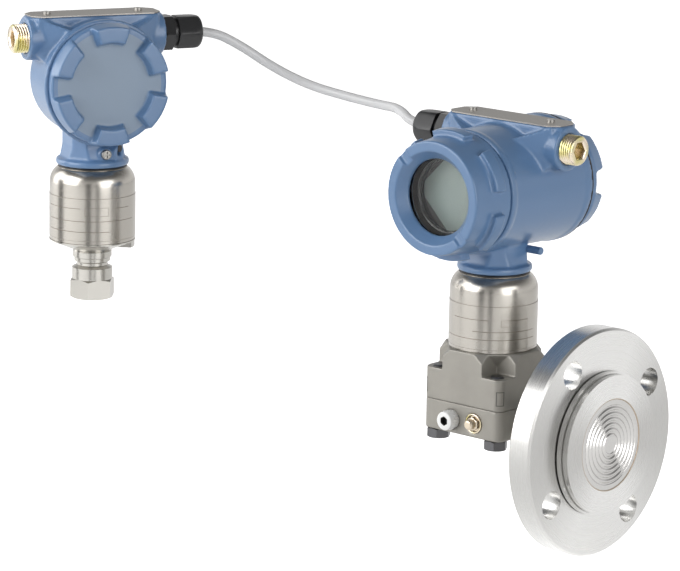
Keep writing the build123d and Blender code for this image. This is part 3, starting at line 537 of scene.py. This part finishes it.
# Convex solid round a set of points
def hullMesh(name, points):
    mesh = bpy.data.meshes.new(name)
    work = bmesh.new()
    for point in points:
        work.verts.new(point)
    bmesh.ops.convex_hull(work, input=work.verts)
    bmesh.ops.recalc_face_normals(work, faces=work.faces)
    work.to_mesh(mesh)
    work.free()
    mesh.transform(Matrix.Scale(mm, 4))
    return mesh


# Upper block: a slab with round corners; each corner slopes down from the can, with an upright notch over
# the bolt and a leaning facet that narrows to a point in the back of the notch
def makeUpperBlock():
    block = {"low": 14.5, "top": 50.6, "floor": 36.0, "notch": 16.0, "point": 40.5, "lean": 1.0,
             "slopeFrom": 29.8, "slope": 1.2, "cutHigh": 60.0, "cutOut": 30.0, "wedgeOut": 80.0,
             "wedgeHalf": 50.0}
    turn = np.radians(np.linspace(0, 90, 9))
    corner = slab["round"]
    ring = np.concatenate([
        np.stack([sx * (slab["x"] - corner) + corner * np.cos(turn + start),
                  sy * (slab["y"] - corner) + corner * np.sin(turn + start)], 1)
        for sx, sy, start in ((1, 1, 0), (-1, 1, pi / 2), (-1, -1, pi), (1, -1, 3 * pi / 2))
    ])
    rows = [np.column_stack([ring, np.full(len(ring), z)]) for z in (block["low"], block["top"])]
    obj = addPiece("upperBlock", gridMesh("upperBlock", rows, None, (True, True)), "block", "sensor_base",
                   ["sensor_casting"])
    cutters = []
    high, far = block["cutHigh"], block["cutOut"]
    for sx, sy in ((1, 1), (-1, 1), (-1, -1), (1, -1)):
        x, y = slab["x"] - block["notch"], slab["y"] - block["notch"]
        lean = (high - block["point"]) * block["lean"]
        notch = [(0, 0, block["floor"]), (far, 0, block["floor"]), (far, far, block["floor"]),
                 (0, far, block["floor"]), (0, 0, block["point"]), (lean, 0, high), (far, 0, high),
                 (far, far, high), (0, far, high), (0, lean, high)]
        cutters.append(hullMesh("notch", [(sx * (x + u), sy * (y + v), z) for u, v, z in notch]))
        wedge = []
        for z in (block["floor"], high):
            out = block["slopeFrom"] + (block["top"] - z) / block["slope"]
            for reach in (out, block["wedgeOut"]):
                for side in (-block["wedgeHalf"], block["wedgeHalf"]):
                    wedge.append((sx * (reach - side) * cos(pi / 4), sy * (reach + side) * cos(pi / 4), z))
        cutters.append(hullMesh("wedge", wedge))
    tools = []
    for mesh in cutters:
        tool = bpy.data.objects.new(mesh.name, mesh)
        scene.collection.objects.link(tool)
        tools.append(tool)
        carve = obj.modifiers.new("carve", "BOOLEAN")
        carve.operation, carve.object, carve.solver = "DIFFERENCE", tool, "EXACT"
    softSkin(obj, 0.0006, 3)
    for tool in tools:
        bpy.data.objects.remove(tool)
    obj.data.transform(Matrix.Translation(Vector((mainAxis[0], 0, 0))))
    dress(obj, "block")
    print("upperBlock", len(obj.data.polygons), "faces")


makeUpperBlock()


# Spun can: straight wall, domed shoulder up to a short lip round the seal, and back down inside
def canMesh(name, place):
    can = {"outer": 29.5, "inner": 27.9, "low": -51.9, "edge": 0.3, "wallTop": -20.0, "across": 10.5,
           "lip": 23.9, "lipTop": -1.3, "dome": 12.0, "domeLift": 0.9, "throat": 17.1, "seat": -4.6,
           "under": -6.2}
    domeLow = can["lipTop"] - can["dome"] + can["domeLift"]
    profile = [(can["outer"], can["low"] + can["edge"]), (can["outer"] - 0.05, can["low"] + 8),
               (can["outer"], can["wallTop"])]
    profile += shoulder(can["outer"] - can["across"], can["across"], domeLow, can["dome"])[:9]
    profile += [(can["lip"], can["lipTop"]), (can["lip"] - can["edge"], can["lipTop"] - can["edge"]),
                (can["lip"] - can["edge"], can["seat"]), (can["throat"], can["seat"]),
                (can["throat"], can["under"]), (25.0, -7.5), (can["inner"], -14.0),
                (can["inner"], can["low"]), (can["outer"] - can["edge"], can["low"])]
    return gridMesh(name, turnedRows(profile), place, loop=True)


addPiece("canShell", canMesh("canShell", mainUnit), "mainCan", "sensor_base", ["module_can"])
addPiece("remoteCanShell", canMesh("remoteCanShell", remoteUnit), "remoteCan", "remote_module",
         ["remote_module_can"])


# Foil: flat rim, then a sine of the radius over the ripples, then the flat boss in the middle
def foilMesh():
    foil = {"edge": 30.9, "ripples": 27.05, "boss": 5.75, "pitch": 3.55, "high": 0.5, "level": 7.9,
            "thick": 0.5}
    radius = np.linspace(foil["ripples"], foil["boss"], 121)
    wave = foil["level"] + foil["high"] * np.sin(2 * pi * (radius - foil["boss"]) / foil["pitch"])
    profile = [(foil["edge"], foil["level"] - foil["thick"]), (foil["edge"], foil["level"])]
    profile += np.stack([radius, wave], 1).tolist() + [(0.6, foil["level"])]
    out = Matrix.Rotation(radians(90), 4, "Y")
    return gridMesh("foil", turnedRows(profile, 180), out, (True, True))


addPiece("foil", foilMesh(), "foil", "sensor_base", ["diaphragm"])
weld = {"radius": 30.8, "thick": 0.6, "level": 7.7}
facing = Matrix.Rotation(radians(90), 4, "Y")
weldRows = ringRows(weld["radius"], weld["thick"], weld["level"], 160)
addPiece("weldBead", gridMesh("weldBead", weldRows, facing, loop=True), "weld", "sensor_base")
print("can, foil and block made")


# Taped plug: ragged tape collar, round nose with a small bevel, hexagon socket
def tapedPlugMesh(place):
    plug = {"tape": 6.3, "ragged": 0.3, "nose": 6.35, "long": 7.8, "socket": 2.6, "deep": 4.0}
    angle = np.linspace(0, 2 * pi, 120, endpoint=False)
    ragged = np.sin(angle * 17) * np.sin(angle * 5 + 1) + 0.6 * np.sin(angle * 29 + 2)
    hexagon = hexagonAt(angle, plug["socket"])
    steps = [(plug["tape"] - 0.6, -6, 0), (plug["tape"], -0.8, 0.3), (plug["tape"], 1.4, 1),
             (plug["tape"] + 0.2, 3.2, 1.6), (plug["tape"], 3.9, 1.2), (plug["nose"], 4.1, 0),
             (plug["nose"], plug["long"] - 0.9, 0), (plug["nose"] - 0.3, plug["long"] - 0.3, 0),
             (plug["nose"] - 1.0, plug["long"], 0)]
    shape = [(radius + plug["ragged"] * share * ragged, height) for radius, height, share in steps]
    shape += [(hexagon + 0.5, plug["long"]), (hexagon + 0.1, plug["long"] - 0.3),
              (hexagon, plug["long"] - 0.6), (hexagon, plug["long"] - plug["deep"])]
    return gridMesh("tapedPlug", [roundAt(angle, r, h) for r, h in shape], place, (True, True))


# Frame of a plug on the block's side, whose Z points out of it
def blockSide(spot):
    return Matrix.Translation(Vector((spot[0], -slab["y"], spot[1]))) @ Matrix.Rotation(radians(90), 4, "X")


addPiece("tapedPlug", tapedPlugMesh(blockSide(slab["tape"])), "whitePlug", "sensor_base",
         ["vent_plug"])
rimRows = ringRows(6.2, 0.55, 0.0, 64)
addPiece("fillRim", gridMesh("fillRim", rimRows, blockSide(slab["fill"]), loop=True), "zinc", "sensor_base")


# Fill screw: low hexagon, then a round nose with a soft end
def fillMesh(place):
    fill = {"thread": 5.4, "deep": 8.0, "under": 1.2, "flat": 4.2, "hexHigh": 1.6, "bevel": 0.4, "nose": 3.5,
            "long": 6.4, "across": 1.5, "dome": 1.8}
    angle = np.linspace(0, 2 * pi, 96, endpoint=False)
    hexagon = hexagonAt(angle, fill["flat"])
    shape = [(fill["thread"], -fill["deep"]), (fill["thread"], -fill["under"]),
             (hexagon, -fill["under"] + 0.1), (hexagon, fill["hexHigh"] - fill["bevel"]),
             (hexagon - fill["bevel"], fill["hexHigh"]), (fill["nose"], fill["hexHigh"] + 0.2)]
    across, dome = fill["across"], fill["dome"]
    shape += shoulder(fill["nose"] - across, across, fill["long"] - dome, dome, 7)
    return gridMesh("fillHead", [roundAt(angle, r, h) for r, h in shape], place, (True, True))


addPiece("fillHead", fillMesh(blockSide(slab["fill"])), "bronze", "sensor_base", ["fill_screw"])


# Gland nut: hexagon that a dome rounds off towards its mouth, the smaller of the two at each height
def glandMesh(name, place):
    nut = {"flat": 11.2, "low": 11.0, "domeFrom": 20.0, "top": 29.0, "mouth": 6.6, "bevel": 0.5, "lip": 1.4,
           "fullness": 2.6, "sharp": 24.0}
    angle = np.linspace(0, 2 * pi, 144, endpoint=False)
    hexagon = hexagonAt(angle, nut["flat"])
    corner = hexagon.max()
    height = np.concatenate([[nut["low"], nut["low"] + nut["bevel"]],
                             np.linspace(nut["domeFrom"] - 2, nut["top"], 26)])
    rise = ((height - nut["domeFrom"]) / (nut["top"] - nut["domeFrom"])).clip(0, 1)
    lip = nut["mouth"] + nut["lip"]
    dome = lip + (corner - lip) * np.sqrt((1 - rise ** nut["fullness"]).clip(0, 1))
    dome[0] = corner - nut["bevel"]
    # The smaller of hexagon and dome, blended so that the edges come out rounded
    sharp = -nut["sharp"]
    radius = (hexagon[None, :] ** sharp + dome[:, None] ** sharp) ** (1 / sharp)
    mouth = [(nut["mouth"] + 0.3, nut["top"]), (nut["mouth"], nut["top"] - 0.4),
             (nut["mouth"], nut["top"] - 2.4)]
    rows = [roundAt(angle, r, h) for r, h in [*zip(radius, height), *mouth]]
    return gridMesh(name, rows, place, (True, True))


# Conduit plug: a helical thread up to the chamfer, then the face and its hexagon socket
def plugMesh(name, place):
    plug = {"crest": 10.0, "depth": 1.15, "pitch": 1.814, "low": -6.0, "top": 7.6, "proud": 9.0,
            "face": 9.0, "socket": 5.0, "deep": 7.9, "steps": 144, "perTurn": 14}
    angle = np.linspace(0, 2 * pi, plug["steps"], endpoint=False)
    count = int((plug["top"] - plug["low"]) / plug["pitch"] * plug["perTurn"])
    height = np.linspace(plug["low"], plug["top"], count)[:, None] + 0 * angle
    # The thread's section is a triangle wave of the height less the angle's share of the pitch
    phase = (height / plug["pitch"] - angle / (2 * pi)) % 1.0
    radius = plug["crest"] - plug["depth"] * (1 - np.abs(2 * phase - 1))
    flats = hexagonAt(angle, plug["socket"])
    ends = [(0 * angle + plug["crest"] - 0.1, 7.8), (0 * angle + plug["face"] + 0.2, 8.8),
            (0 * angle + plug["face"] - 0.2, plug["proud"]), (flats + 1.0, plug["proud"]),
            (flats + 0.1, plug["proud"] - 0.7), (flats, plug["proud"] - 1.0),
            (flats, plug["proud"] - plug["deep"])]
    radius = np.concatenate([radius, [r for r, h in ends]])
    height = np.concatenate([height, [0 * angle + h for r, h in ends]])
    return gridMesh(name, roundAt(angle, radius, height), place, (True, True))


def hubPlace(unit, side, across):
    out = Matrix.Rotation(radians(90) * side, 4, "Y")
    return unit @ Matrix.Translation(Vector((side * hub["span"] / 2, across, hub["z"]))) @ out


addPiece("plugThread", plugMesh("plugThread", hubPlace(mainUnit, 1, hub["mainY"])), "zinc", "housing",
         ["conduit_plug"])
addPiece("remotePlugThread", plugMesh("remotePlugThread", hubPlace(remoteUpper, -1, hub["remoteY"])), "zinc",
         "housing", ["remote_plug"])
addPiece("glandCap", glandMesh("glandCap", hubPlace(mainUnit, -1, hub["mainY"])), "nylon", "housing",
         ["gland_nut"])
addPiece("remoteGlandCap", glandMesh("remoteGlandCap", hubPlace(remoteUpper, 1, hub["remoteY"])), "nylon",
         "housing", ["remote_gland_nut"])


# Frame of a unit whose Z points out of the front cover, from the bore's axis
def frontPlace(unit):
    return unit @ Matrix.Translation(Vector((0, 0, boreZ))) @ Matrix.Rotation(radians(90), 4, "X")


# Window's black ring and the ring in the rear seam: radius, thickness, height out from the bore's middle
seamRings = [("glassRing", 25.3, 1.9, 46.6, "glossBlack", "display_cap", "black_plastic"),
             ("rearSeamRing", 42.75, 0.75, -48.5, "rubber", "housing", "black_rubber")]
for name, radius, thick, level, look, body, slot in seamRings:
    rows = ringRows(radius, thick, level)
    addPiece(name, gridMesh(name, rows, frontPlace(mainUnit), loop=True), look, body)


# Painted shade in the mouth of the set screw's bore on a unit's neck: a black disc that stands in for the
# shade inside the hole
def boreMesh(name, unit, bearing):
    bore = {"radius": 2.5, "deep": 0.6, "reach": 23.55, "z": 9.8}
    spot = Matrix.Translation(Vector((bore["reach"], 0, bore["z"]))) @ Matrix.Rotation(radians(90), 4, "Y")
    place = unit @ Matrix.Rotation(radians(bearing), 4, "Z") @ spot
    profile = [(bore["radius"], -bore["deep"]), (bore["radius"], 0.0)]
    return gridMesh(name, turnedRows(profile, 32), place, (True, True))


# Black discs of painted shade in the two set screw bores, dressed in the black rubber look
addPiece("setBore", boreMesh("setBore", mainUnit, -128), "rubber", "housing")
addPiece("remoteSetBore", boreMesh("remoteSetBore", remoteUpper, -57), "rubber", "housing")


# Stub on the neck's right side: a short round bar with a soft end
def stubMesh():
    stub = {"radius": 2.6, "low": 12.0, "top": 30.0, "z": 14.6, "y": 12.0, "soft": 0.8}
    radius, soft = stub["radius"], stub["soft"]
    profile = [(radius, stub["low"])] + shoulder(radius - soft, soft, stub["top"] - soft, soft)
    out = Matrix.Translation(Vector((0, stub["y"], stub["z"]))) @ Matrix.Rotation(radians(90), 4, "Y")
    return gridMesh("neckStub", turnedRows(profile, 48), mainUnit @ out, (True, True))


addPiece("neckStub", stubMesh(), "paint", "housing")


# Foundry mark on a corner of the block: a thin frame that follows the round of the corner, darkened as
# painted shade for its recessed outline
def markMesh(name, sx, sy):
    mark = {"proud": 0.08, "sunk": 0.3, "low": 18.6, "high": 28.2, "from": 12, "to": 66, "wall": 0.5}
    corner = slab["round"]
    spread = mark["wall"] / corner * 180 / pi
    turn, rise = [], []
    outline = [(mark["from"], mark["low"]), (mark["to"], mark["low"]), (mark["to"], mark["high"]),
               (mark["from"], mark["high"])]
    for (a0, z0), (a1, z1) in zip(outline, outline[1:] + outline[:1]):
        share = np.linspace(0, 1, 10, endpoint=False)
        turn.append(a0 + (a1 - a0) * share)
        rise.append(z0 + (z1 - z0) * share)
    turn, rise = np.concatenate(turn), np.concatenate(rise)
    middleTurn, middleRise = (mark["from"] + mark["to"]) / 2, (mark["low"] + mark["high"]) / 2
    scaleTurn = 1 - 2 * spread / (mark["to"] - mark["from"])
    scaleRise = 1 - 2 * mark["wall"] / (mark["high"] - mark["low"])
    rows = []
    for inset, out in ((0, -mark["sunk"]), (0, mark["proud"]), (1, mark["proud"]), (1, -mark["sunk"])):
        t = np.radians(middleTurn + (turn - middleTurn) * (scaleTurn if inset else 1))
        z = middleRise + (rise - middleRise) * (scaleRise if inset else 1)
        x = mainSpot[0] + sx * (slab["x"] - corner + (corner + out) * np.cos(t))
        y = sy * (slab["y"] - corner + (corner + out) * np.sin(t))
        rows.append(np.stack([x, y, z], 1))
    if sx * sy < 0:
        rows = [row[::-1] for row in rows]
    return gridMesh(name, rows, loop=True)


for name, sx, sy in (("frontMark", 1, -1), ("sideMark", -1, -1)):
    addPiece(name, markMesh(name, sx, sy), "groove", "sensor_base")
print("small pieces made")


# Two masks: rays that come straight from the camera, and rays that metal or glass sends on
def seen(tree):
    path = tree.nodes.new("ShaderNodeLightPath")
    camera, gloss, through = [Value(tree, path.outputs["Is " + kind + " Ray"])
                              for kind in ("Camera", "Glossy", "Transmission")]
    return camera, (gloss + through).math("MINIMUM", 1.0)


# Pale round floor, white to the camera and less so in metal; past its edge the world is as pale
def makeFloor():
    floor = {"z": -0.0775, "radius": 7.0, "glow": 0.58}
    turn = np.linspace(0, 2 * pi, 64, endpoint=False)
    points = np.stack([floor["radius"] * np.cos(turn), floor["radius"] * np.sin(turn),
                       np.full_like(turn, floor["z"])], 1)
    mesh = bpy.data.meshes.new("floor")
    mesh.from_pydata(points.tolist(), [], [list(range(len(turn)))])
    obj = bpy.data.objects.new("floor", mesh)
    scene.collection.objects.link(obj)
    look = Look("floorPaint", (0.80, 0.80, 0.80), Roughness=0.9, Emission_Strength=1.0)
    camera, gloss = seen(look.tree)
    look.link("Emission Color", look.mix(camera + gloss * floor["glow"], (0, 0, 0), (1, 1, 1)))
    obj.data.materials.append(look.material)


def addLight(name, place, target, size, power):
    data = bpy.data.lights.new(name, "AREA")
    data.shape = "RECTANGLE"
    data.size, data.size_y = size
    data.energy = power
    obj = bpy.data.objects.new(name, data)
    scene.collection.objects.link(obj)
    obj.visible_camera = False
    aim = Vector(target) - Vector(place)
    obj.matrix_world = Matrix.Translation(Vector(place)) @ aim.to_track_quat("-Z", "Y").to_matrix().to_4x4()


# Dark studio card that stands off to one side and shows only in the gloss of the metal
def addCard(name, middle, bearing, away, wide, low, high, shade):
    side = Vector((cos(bearing), sin(bearing), 0))
    along = Vector((-sin(bearing), cos(bearing), 0)) * wide / 2
    base = Vector((middle[0], middle[1], 0)) + side * away
    corners = [base - along, base + along]
    points = [(c.x, c.y, z) for z in (low, high) for c in corners]
    mesh = bpy.data.meshes.new(name)
    mesh.from_pydata(points, [], [(0, 1, 3, 2)])
    obj = bpy.data.objects.new(name, mesh)
    scene.collection.objects.link(obj)
    obj.visible_camera = obj.visible_diffuse = obj.visible_shadow = obj.visible_transmission = False
    look = Look(name, (shade,) * 3, Roughness=0.9)
    obj.data.materials.append(look.material)


makeFloor()
middle = (-0.2, -0.02, 0.12)
lamps = [
    ("keyLight", (-0.9, -1.9, 1.0), (1.6, 1.6), 33.0), ("sideLight", (1.9, -0.3, 0.6), (1.6, 1.6), 24.0),
    ("topLight", (0.0, 0.1, 2.0), (1.4, 1.0), 2.5), ("leftLight", (-1.9, -0.9, 0.7), (1.4, 1.6), 17.0),
]
for name, place, size, power in lamps:
    addLight(name, place, middle, size, power)
# Each card's bearing is in degrees round from the camera's own, seen from that can
cameraBearing = -48.76
cards = [
    ("cardOne", mainAxis, -34, 0.60, 0.16, 0.05), ("cardTwo", mainAxis, 52, 0.60, 0.15, 0.03),
    ("cardThree", remoteAxis, 18, 0.60, 0.10, 0.05), ("cardFour", remoteAxis, -88, 0.60, 0.20, 0.08),
]
for name, centre, bearing, away, wide, shade in cards:
    addCard(name, centre, radians(cameraBearing + bearing), away, wide, -0.07, 0.30, shade)


# World: white to the camera, bright in metal near the horizon and darker overhead, and dimmer as a lamp
def makeWorld():
    sky = {"ambient": 0.34, "bright": 1.0, "zenith": 0.16, "fallAt": 0.42, "fallSoft": 0.5}
    world = bpy.data.worlds.new("studio")
    scene.world = world
    world.use_nodes = True
    tree = world.node_tree
    coord = tree.nodes.new("ShaderNodeTexCoord")
    split = tree.nodes.new("ShaderNodeSeparateXYZ")
    tree.links.new(coord.outputs["Generated"], split.inputs[0])
    height = Value(tree, split.outputs[2])
    fall = 1 - height.over(sky["fallAt"], sky["fallSoft"]) * (1 - sky["zenith"])
    camera, gloss = seen(tree)
    strength = camera + (1 - camera) * (gloss * (sky["bright"] - sky["ambient"]) + sky["ambient"]) * fall
    tree.nodes["Background"].inputs["Color"].default_value = (1.0, 1.0, 1.0, 1.0)
    wire(tree, tree.nodes["Background"].inputs["Strength"], strength)


makeWorld()
print("stage made")
